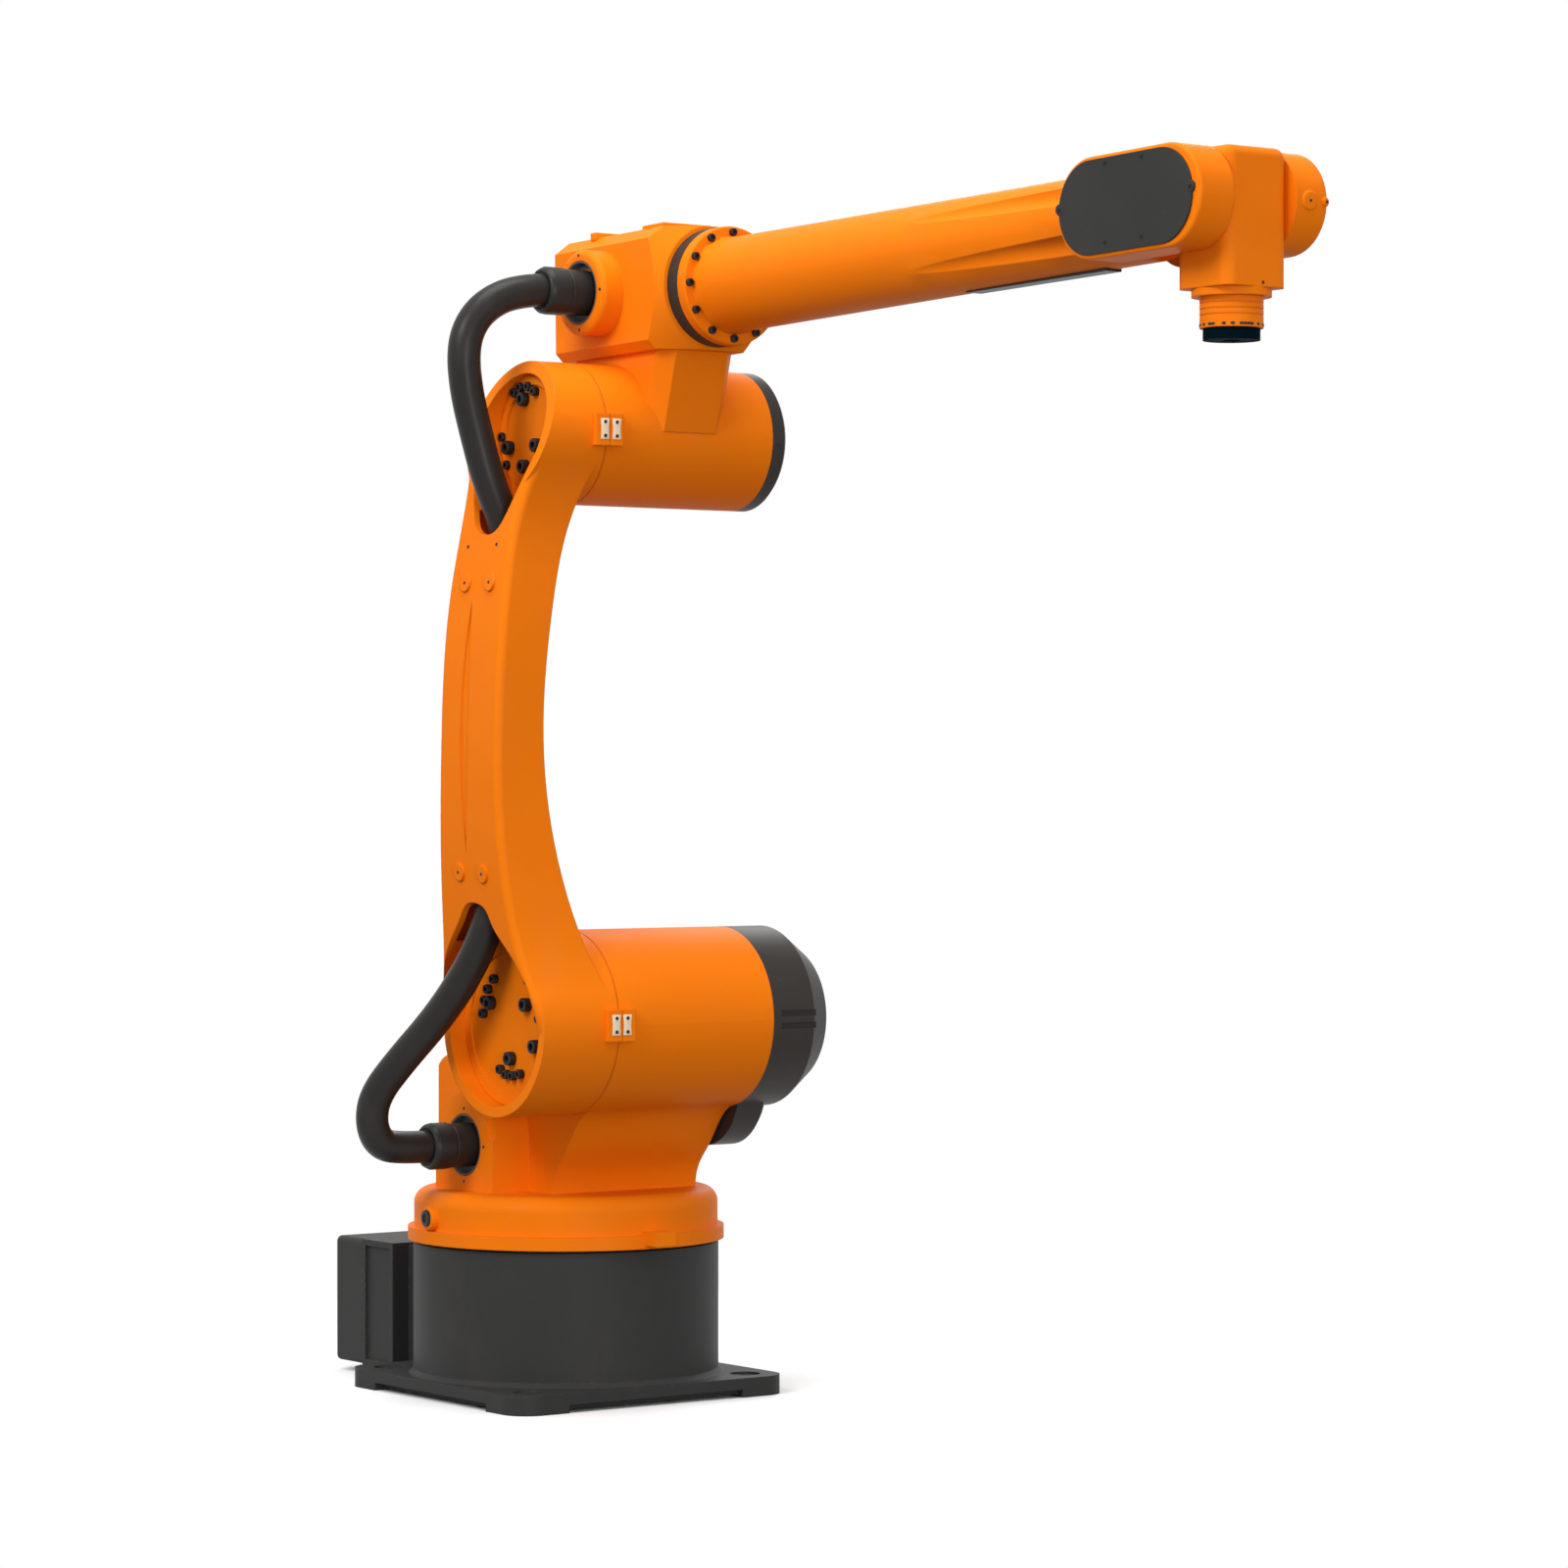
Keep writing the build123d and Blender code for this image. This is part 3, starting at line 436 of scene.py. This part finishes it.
def addScrew(form, place, radius, height):
    shape = screwShape
    edge = radius * shape["edge"]
    cut = shape["edgeCut"] * edge
    socket = radius * shape["socket"]
    floor = height * shape["floor"]
    outline = [
        (radius, shape["foot"]), (radius, height - edge), (radius - cut, height - cut), (radius - edge, height),
        (socket, height), (socket * shape["taper"], floor),
        (socket * shape["tip"], floor - shape["tipDrop"] * socket),
    ]
    addTurned(form, place, outline, shape["segments"])


def screwPiece(name, body, spots, radius, height):
    form = bmesh.new()
    for place in spots:
        addScrew(form, place, radius, height)
    finishPiece(form, name, body, "blackSteel")


# hoses: control points of one smooth line each, in mm; what each end rides on and where the blend
# between the two bodies starts and ends, in metres
hoseSet = {
    "radius": 20.8, "sides": 28, "fineness": 12, "order": 3, "sharpAngle": 60.0,
    "lower": {
        "bodies": ("waist", "upper_arm"), "start": (-0.01, -0.27, 0.34), "end": (0.14, -0.23, 0.60),
        "points": [
            (-12.0, -207.0, 325.0), (-12.0, -246.0, 325.0), (-13.0, -277.0, 331.0), (-11.0, -291.0, 360.0),
            (-4.0, -288.0, 396.0), (28.0, -268.0, 441.0), (74.0, -250.0, 488.0), (115.0, -240.0, 532.0),
            (149.0, -232.0, 578.0), (166.0, -221.0, 628.0), (171.0, -212.0, 690.0), (176.0, -221.0, 752.0),
            (181.2, -236.0, 814.0), (186.0, -236.0, 880.0),
        ],
    },
    "upper": {
        "bodies": ("elbow", "upper_arm"), "start": (0.207, -0.26, 1.385), "end": (0.20, -0.246, 1.13),
        "points": [
            (211.92, -178.0, 1408.45), (211.92, -202.0, 1406.5), (208.0, -240.0, 1396.0),
            (204.5, -272.0, 1371.0), (202.0, -287.0, 1334.0), (198.0, -280.0, 1280.0), (197.0, -263.0, 1222.0),
            (199.0, -246.0, 1164.0), (200.0, -219.5, 1110.0), (200.0, -223.5, 1052.0), (196.0, -229.0, 994.0),
            (190.4, -236.0, 940.0), (186.02, -236.0, 880.3),
        ],
    },
}


# points read from the smooth NURBS line of a route
def hoseLine(points):
    curve = bpy.data.curves.new("hoseLine", "CURVE")
    curve.dimensions = "3D"
    curve.resolution_u = hoseSet["fineness"]
    spline = curve.splines.new("NURBS")
    spline.points.add(len(points) - 1)
    for point, at in zip(spline.points, points):
        point.co = (at[0] * mm, at[1] * mm, at[2] * mm, 1.0)
    spline.order_u = hoseSet["order"]
    spline.use_endpoint_u = True
    holder = bpy.data.objects.new("hoseLine", curve)
    scene.collection.objects.link(holder)
    bpy.context.view_layer.update()
    shown = holder.evaluated_get(bpy.context.evaluated_depsgraph_get())
    mesh = bpy.data.meshes.new_from_object(shown)
    line = [vert.co.copy() for vert in mesh.vertices]
    bpy.data.objects.remove(holder)
    bpy.data.meshes.remove(mesh)
    return line


# a round skin drawn along the line, each ring turned to the mean of the steps beside it
def makeHose(label):
    route = hoseSet[label]
    node = f"{label}_hose"
    line = hoseLine(route["points"])
    form = bmesh.new()
    direction = (line[1] - line[0]).normalized()
    turn = direction.to_track_quat("Z", "X").to_matrix().to_4x4()
    edges = startRing(form, Matrix.Translation(line[0]) @ turn, hoseSet["radius"] * mm, hoseSet["sides"])
    bmesh.ops.contextual_create(form, geom=edges)
    for here, there, after in zip(line, line[1:], line[2:] + [line[-1] * 2 - line[-2]]):
        aim = ((there - here).normalized() + (after - there).normalized()).normalized()
        swing = direction.rotation_difference(aim).to_matrix().to_4x4()
        direction = aim
        edges = growRing(form, edges, Matrix.Translation(there) @ swing @ Matrix.Translation(-here))
    bmesh.ops.contextual_create(form, geom=edges)
    hose = finishPiece(form, f"{label}_hose_skin", None, "hoseRubber", hoseSet["sharpAngle"])
    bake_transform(hose)
    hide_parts(node)


makeHose("lower")
makeHose("upper")

# hose glands: body, faceted nut with a round lip, ring in the seat, four small screws round it
glandSet = {
    "seatDepth": 12.0, "nutSides": 16, "sharpAngle": 30.0,
    "screwCount": 4, "screwRing": 47.0, "screwRadius": 2.0, "screwHeight": 0.5,
    "body": [(28.5, 0.0), (28.5, 36.0), (27.7, 36.8), (27.7, 38.4), (28.5, 39.2), (28.5, 40.6)],
    "nut": [(29.0, 38.6), (30.2, 40.0), (30.2, 63.0), (29.4, 65.6), (27.4, 68.8)],
    "lip": [(26.2, 60.0), (26.2, 69.0), (25.4, 70.2), (23.8, 70.2), (22.6, 68.8), (22.6, 60.0), (26.2, 60.0)],
    "ring": [
        (39.7, 0.2), (39.7, 11.6), (38.9, 12.4), (37.4, 12.0), (36.6, 10.5), (36.6, 1.2), (30.0, 0.8),
        (30.0, 0.2), (39.7, 0.2),
    ],
    "waistFace": (-0.012, -0.150, 0.325), "elbowFace": (0.006, -0.121, 0.178),
}


def makeGland(label, node, body, face):
    place = face @ lifted(-glandSet["seatDepth"])
    form = bmesh.new()
    addTurned(form, place, glandSet["body"])
    addTurned(form, place, glandSet["nut"], glandSet["nutSides"])
    addTurned(form, place, glandSet["lip"], hollow=True)
    gland = finishPiece(form, f"{label}_gland", body, "glandPlastic", glandSet["sharpAngle"])
    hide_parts(node)
    form = bmesh.new()
    addTurned(form, place, glandSet["ring"], hollow=True)
    finishPiece(form, f"{label}_gland_ring", body, "linerPlastic")
    spots = []
    for index in range(glandSet["screwCount"]):
        turn = Matrix.Rotation(2 * pi * index / glandSet["screwCount"], 4, "Z")
        spots.append(face @ Matrix.Translation(turn @ Vector((glandSet["screwRing"] * mm, 0, 0))))
    screwPiece(f"{label}_gland_screws", body, spots, glandSet["screwRadius"], glandSet["screwHeight"])


makeGland("waist", "waist_hose_gland", "waist", facing(glandSet["waistFace"], (0, -1, 0)))
makeGland("elbow", "elbow_hose_gland", "elbow", elbowFrame @ facing(glandSet["elbowFace"], (0, -1, 0)))
print("glands made")

# screws in the two hub windows, places as seen from outside about each hub's centre
hubScrews = {
    "small": {"radius": 6.0, "height": 8.0}, "large": {"radius": 8.8, "height": 10.0},
    "shoulder": {
        "floorY": -189.0, "up": 0.0,
        "small": [
            (-38, 53), (-51, 39), (-57, 24), (-60, 7), (-15, -59), (-1, -64), (14, -64), (30, -60), (42, 59),
            (61, 31), (69, 14),
        ],
        "large": [(-44, 22), (38, 28), (62, -22), (7, -43)],
    },
    "elbow": {
        "floorY": -187.0, "up": 743.0,
        "small": [(-41, 49), (-28, 56), (-10, 57), (4, 51), (-65, -7), (-52, -42)],
        "large": [(-21, 41), (-51, -20), (13, -16), (-14, -43)],
    },
}


def makeHubScrews():
    for label in ("shoulder", "elbow"):
        hub = hubScrews[label]
        for size in ("small", "large"):
            spots = []
            for x, z in hub[size]:
                at = Vector((x, hub["floorY"], hub["up"] + z)) * mm
                spots.append(armFrame @ facing(at, (0, -1, 0)))
            head = hubScrews[size]
            screwPiece(f"{label}_hub_{size}_screws", "upper_arm", spots, head["radius"], head["height"])


makeHubScrews()

# low cast rib across the crown of the elbow housing
crownRib = {"from": (-37.0, -74.0, 250.0), "to": (-25.0, 20.0, 260.5), "soft": 1.2, "softSegments": 3}


def makeCrownRib():
    low = Vector(crownRib["from"]) * mm
    high = Vector(crownRib["to"]) * mm
    form = bmesh.new()
    place = elbowFrame @ Matrix.Translation((low + high) / 2) @ Matrix.Diagonal((*(high - low), 1))
    bmesh.ops.create_cube(form, size=1.0, matrix=place)
    softenForm(form, crownRib["soft"], crownRib["softSegments"])
    finishPiece(form, "elbow_crown_rib", "elbow", "orangePaint")


makeCrownRib()

# ring of screws on the forearm flange
flangeScrews = {"x": 170.0, "ring": 66.5, "count": 12, "radius": 5.0, "height": 5.0, "rise": 178.0}


def makeFlangeScrews():
    spots = []
    for index in range(flangeScrews["count"]):
        turn = 2 * pi * index / flangeScrews["count"]
        y = flangeScrews["ring"] * cos(turn)
        z = flangeScrews["rise"] + flangeScrews["ring"] * sin(turn)
        spots.append(elbowFrame @ facing((flangeScrews["x"] * mm, y * mm, z * mm), (1, 0, 0)))
    screwPiece("forearm_flange_screws", "forearm", spots, flangeScrews["radius"], flangeScrews["height"])


makeFlangeScrews()

# wrist cover: four small screws on its face, and an ear with a screw at each end
coverSet = {
    "reach": 1110.0, "rise": 178.0, "faceY": -96.0, "legY": -93.5, "screwRadius": 2.2, "screwHeight": 1.2,
    "screws": [(-100.4, 46.5), (-38.8, 46.5), (-102.2, -40.7), (-40.6, -40.8)],
    "ears": [(-180.0, 3.5), (42.0, 4.5)],
    "ear": [(6.6, 0.0), (6.6, 2.2), (5.9, 3.0)], "earSegments": 32, "earLift": 2.9,
}


def makeWristCover():
    def coverSpot(x, y, z):
        at = Vector((coverSet["reach"] + x, y, coverSet["rise"] + z)) * mm
        return elbowFrame @ facing(at, (0, -1, 0))

    spots = [coverSpot(x, coverSet["faceY"], z) for x, z in coverSet["screws"]]
    form = bmesh.new()
    for x, z in coverSet["ears"]:
        place = coverSpot(x, coverSet["legY"], z)
        addTurned(form, place, coverSet["ear"], coverSet["earSegments"])
        spots.append(place @ lifted(coverSet["earLift"]))
    finishPiece(form, "wrist_cover_ears", "forearm", "coverGrey")
    screwPiece("wrist_cover_screws", "forearm", spots, coverSet["screwRadius"], coverSet["screwHeight"])


makeWristCover()

# dark slots round the bottom of the wrist neck, each by its turn about the neck; 0 looks forward
neckSlots = {
    "turns": (
        -84, -76, -55, -39, -23, -16, -9, -2, 15, 33, 50, 67, 85, 103, 120, 138, 155, 172, 190, 208, 225, 243, 260,
    ),
    "level": -136.6, "ring": 34.2, "widen": 1.5, "segments": 16, "outline": [(1.7, 0.0), (1.7, 1.0), (1.4, 1.3)],
}


def makeNeckSlots():
    form = bmesh.new()
    widen = Matrix.Diagonal((neckSlots["widen"], 1.0, 1.0, 1.0))
    for turn in neckSlots["turns"]:
        outward = Vector((cos(radians(turn)), sin(radians(turn)), 0))
        at = (outward * neckSlots["ring"] + Vector((0, 0, neckSlots["level"]))) * mm
        place = wristFrame @ facing(at, outward) @ widen
        addTurned(form, place, neckSlots["outline"], neckSlots["segments"])
    finishPiece(form, "wrist_neck_slots", "wrist", "blackSteel")


makeNeckSlots()
print("wrist details made")

# bosses cast on the skin: piece, start of the line that finds the surface, its direction, outline,
# the screw's radius and height, and the screw's lift above the skin
bossSet = {
    "fork_front_boss": {
        "node": "forearm_casting", "body": "forearm", "space": elbowFrame,
        "from": (1300, 63, 176), "along": (-1, 0, 0),
        "outline": [(11.0, -3.0), (11.0, 0.6), (9.6, 1.8), (8.0, 2.0)], "screw": (1.8, 0.5), "lift": 1.9,
    },
    "fork_side_boss": {
        "node": "forearm_casting", "body": "forearm", "space": elbowFrame,
        "from": (1300, 86, 176), "along": (-1, 0, 0),
        "outline": [(5.5, -3.0), (5.5, 0.8), (4.6, 1.8), (3.6, 2.2)], "screw": (1.6, 1.4), "lift": 2.1,
    },
    "turntable_plug_boss": {
        "node": "waist_casting", "body": "waist", "space": Matrix.Translation((0, 0, 0.233)),
        "from": (-13.5, -260, 0), "along": (0.03, 1, 0),
        "outline": [(15.5, -4.0), (15.5, 7.0), (14.6, 8.4), (13.2, 9.0)], "screw": (11.0, 3.0), "lift": 8.9,
    },
}
bossSharpAngle = 50.0


def makeBosses():
    for name, boss in bossSet.items():
        place = onSurface(boss["node"], boss["space"], boss["from"], boss["along"])
        form = bmesh.new()
        addTurned(form, place, boss["outline"])
        finishPiece(form, name, boss["body"], "orangePaint", bossSharpAngle)
        screwPiece(f"{name}_screw", boss["body"], [place @ lifted(boss["lift"])], *boss["screw"])


makeBosses()

# small plugs and screws sunk in the skin of the castings; size is radius and height
plugSet = {
    "arm_plugs": {
        "node": "upper_arm_casting", "body": "upper_arm", "space": armFrame, "along": (0, 1, 0),
        "from": [(-25, -400, 190), (29, -400, 192), (-26, -400, 552), (29, -400, 555)], "size": (2.2, 0.4),
    },
    "arm_pins": {
        "node": "upper_arm_casting", "body": "upper_arm", "space": armFrame, "along": (0, 1, 0),
        "from": [(-35, -400, 597), (29, -400, 602)], "size": (2.4, 0.4),
    },
    "wrist_block_pin": {
        "node": "wrist_block", "body": "wrist", "space": wristFrame, "along": (-1, 0, 0),
        "from": [(200, 6.9, -92.4)], "size": (2.0, 0.4),
    },
    "elbow_cap_screws": {
        "node": "elbow_end_cap", "body": "elbow", "space": elbowFrame, "along": (-1, 0, 0),
        "from": [(300, 128, -10)], "size": (2.6, 0.8),
    },
}


def makePlugs():
    for name, plug in plugSet.items():
        spots = [onSurface(plug["node"], plug["space"], start, plug["along"]) for start in plug["from"]]
        screwPiece(name, plug["body"], spots, *plug["size"])


makePlugs()
print("bosses and plugs made")

# zero marks: a bare white plate on each half block, waisted, with two dark pins; middlePart is how
# much of the height is waisted, and middleSquash draws its rings together
markSet = {
    "wide": 13.0, "tall": 26.0, "waist": 0.86, "thick": 1.6, "soft": 0.7, "softSegments": 2,
    "uprightOver": 0.5, "middlePart": 0.4, "middleSquash": 0.6,
    "pinUp": 8.6, "pinOut": 0.4, "pin": (2.3, 0.9), "proud": 8.0, "up": 1.0,
    "plates": {
        "shoulder_mark_plate_outer": ("shoulder_tilt", 117.0, -113.2, "upper_arm"),
        "shoulder_mark_plate_inner": ("shoulder_tilt", 117.0, -96.6, "waist"),
        "elbow_mark_plate_outer": ("elbow_tilt", 89.0, -144.6, "upper_arm"),
        "elbow_mark_plate_inner": ("elbow_tilt", 89.0, -127.2, "elbow"),
    },
}


def makeMarks():
    tall = markSet["tall"] * mm
    for name, (joint, radius, y, body) in markSet["plates"].items():
        centre = jointAt[joint] + Vector((radius + markSet["proud"], y, markSet["up"])) * mm
        there = Matrix.Translation(centre)
        form = bmesh.new()
        size = Matrix.Diagonal((markSet["thick"] * mm, markSet["wide"] * mm, tall, 1))
        bmesh.ops.create_cube(form, size=1.0, matrix=there @ size)
        upright = []
        for edge in form.edges:
            if abs((edge.verts[0].co - edge.verts[1].co).z) > markSet["uprightOver"] * tall:
                upright.append(edge)
        bmesh.ops.subdivide_edges(form, edges=upright, cuts=2)
        middle = [vert for vert in form.verts if abs(vert.co.z - centre.z) < markSet["middlePart"] * tall]
        narrow = Matrix.Diagonal((1, markSet["waist"], markSet["middleSquash"], 1))
        bmesh.ops.transform(form, matrix=there @ narrow @ Matrix.Translation(-centre), verts=middle)
        softenForm(form, markSet["soft"], markSet["softSegments"])
        finishPiece(form, name, body, "markWhite")
        spots = []
        for up in (-markSet["pinUp"], markSet["pinUp"]):
            out = Vector((markSet["pinOut"] * markSet["thick"], 0, up))
            spots.append(facing(centre + out * mm, (1, 0, 0)))
        screwPiece(name.replace("plate", "pins"), body, spots, *markSet["pin"])


makeMarks()
print("zero marks made")

# white floor that fades into the white surroundings; seen and bounce are its colour for the camera
# and for the light that it throws back
stageSet = {
    "half": 30.0, "seen": rgb(0.93, 0.93, 0.93), "bounce": rgb(0.14, 0.14, 0.14), "fadeFrom": 0.45, "fadeTo": 1.5,
    "grain": (3.0, 3.0), "grainRough": 0.1, "rough": 0.8, "specular": 0.1, "worldStrength": 0.70,
}


# 1 wherever the camera, gloss or glass looks, 0 for the rest of the light
def whereSeen(shop):
    def ray(name):
        return shop.node("ShaderNodeLightPath", {}, {}, name)
    return ray("Is Camera Ray").larger(ray("Is Glossy Ray")).larger(ray("Is Transmission Ray"))


def makeStage():
    form = bmesh.new()
    bmesh.ops.create_grid(form, x_segments=1, y_segments=1, size=stageSet["half"])
    mesh = bpy.data.meshes.new("studioFloor")
    form.to_mesh(mesh)
    form.free()
    floor = bpy.data.objects.new("studioFloor", mesh)
    scene.collection.objects.link(floor)
    shop = newShop("studioFloor")
    seen = whereSeen(shop)
    grain = shop.noise(*stageSet["grain"])
    shop.set(Base_Color=shop.mix(seen, stageSet["bounce"], stageSet["seen"]))
    shop.set(Roughness=grain * stageSet["grainRough"] + stageSet["rough"])
    shop.set(Specular_IOR_Level=stageSet["specular"])
    away = shop.node("ShaderNodeVectorMath", {"operation": "LENGTH"}, {0: shop.place()}, "Value")
    fade = away.ramp(stageSet["fadeFrom"], stageSet["fadeTo"]) * seen
    white = shop.node("ShaderNodeEmission", {}, {"Color": rgb(1, 1, 1), "Strength": 1.0})
    lit = Flow(shop, shop.main.outputs["BSDF"])
    surface = shop.node("ShaderNodeMixShader", {}, {0: fade, 1: lit, 2: white})
    shop.feed(shop.tree.nodes["Material Output"].inputs["Surface"], surface)
    mesh.materials.append(shop.owner)


def makeWorld():
    world = bpy.data.worlds.new("studioWorld")
    scene.world = world
    shop = Shop(world, "Background")
    strength = whereSeen(shop) * (1.0 - stageSet["worldStrength"]) + stageSet["worldStrength"]
    shop.set(Color=rgb(1, 1, 1), Strength=strength)


# soft lamps: name, place, aim, size in metres and power in watts
lampSet = (
    ("topLamp", (0.6, -0.4, 4.8), (0.4, 0.0, 0.8), 2.8, 120.0),
    ("keyLamp", (1.2, -4.0, 3.6), (0.4, 0.0, 0.9), 2.2, 128.0),
    ("frontLamp", (7.5, -2.5, 0.9), (0.4, 0.0, 1.0), 1.7, 165.0),
    ("backLamp", (-2.5, 3.5, 3.0), (0.4, 0.0, 0.9), 2.4, 60.0),
)


def makeLamps():
    for name, at, target, size, power in lampSet:
        data = bpy.data.lights.new(name, "AREA")
        data.shape = "DISK"
        data.size = size
        data.energy = power
        lamp = bpy.data.objects.new(name, data)
        scene.collection.objects.link(lamp)
        lamp.location = at
        lamp.rotation_euler = (Vector(target) - Vector(at)).to_track_quat("-Z", "Y").to_euler()


makeStage()
makeWorld()
makeLamps()
scene.view_settings.view_transform = "Standard"
print("stage, world and lamps made")
